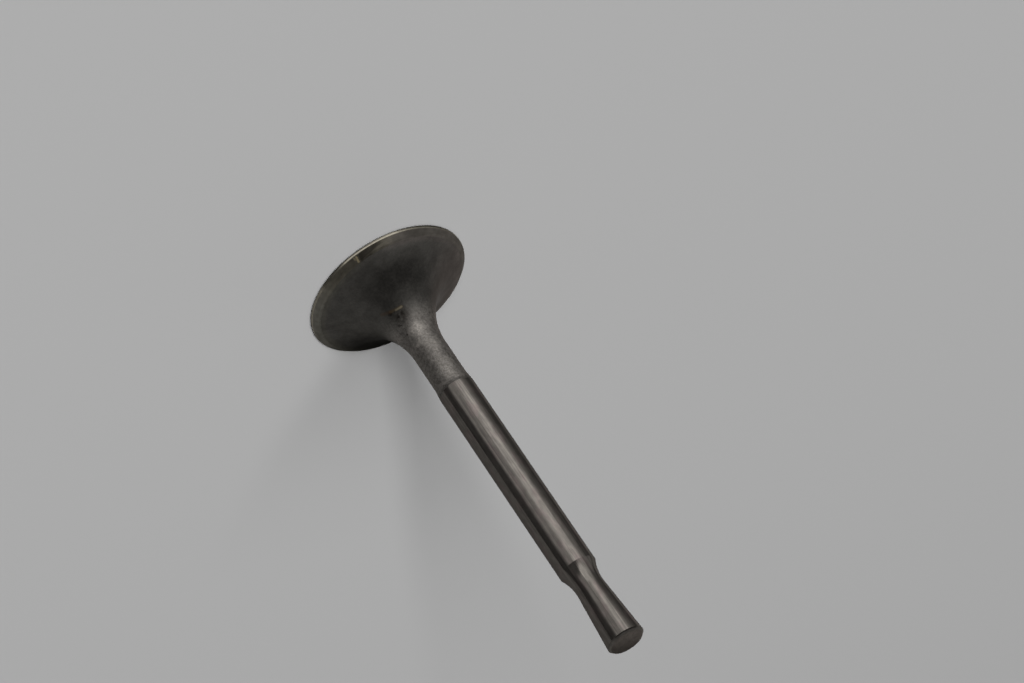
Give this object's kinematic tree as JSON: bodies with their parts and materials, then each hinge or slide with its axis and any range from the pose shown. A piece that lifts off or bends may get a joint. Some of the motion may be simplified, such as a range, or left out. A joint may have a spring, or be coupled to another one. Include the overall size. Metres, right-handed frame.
{
  "type": "engine valve",
  "caption": "Poppet valve: flat-faced head with a conical seat, tulip throat, ground stem and a long waisted end for split collets.",
  "frame": {"origin": "centre of the head's flat combustion face", "axes": "+Z along the stem, from the head's face to the tip, so the valve stands on its face"},
  "size_m": [0.036, 0.036, 0.0972],
  "materials": {
    "valve_steel": "ground bright on the stem and waisted end, dull dark as-forged grey on the neck and the back of the head"
  },
  "bodies": {
    "root": {"valve": "valve_steel"}
  },
  "joints": []
}
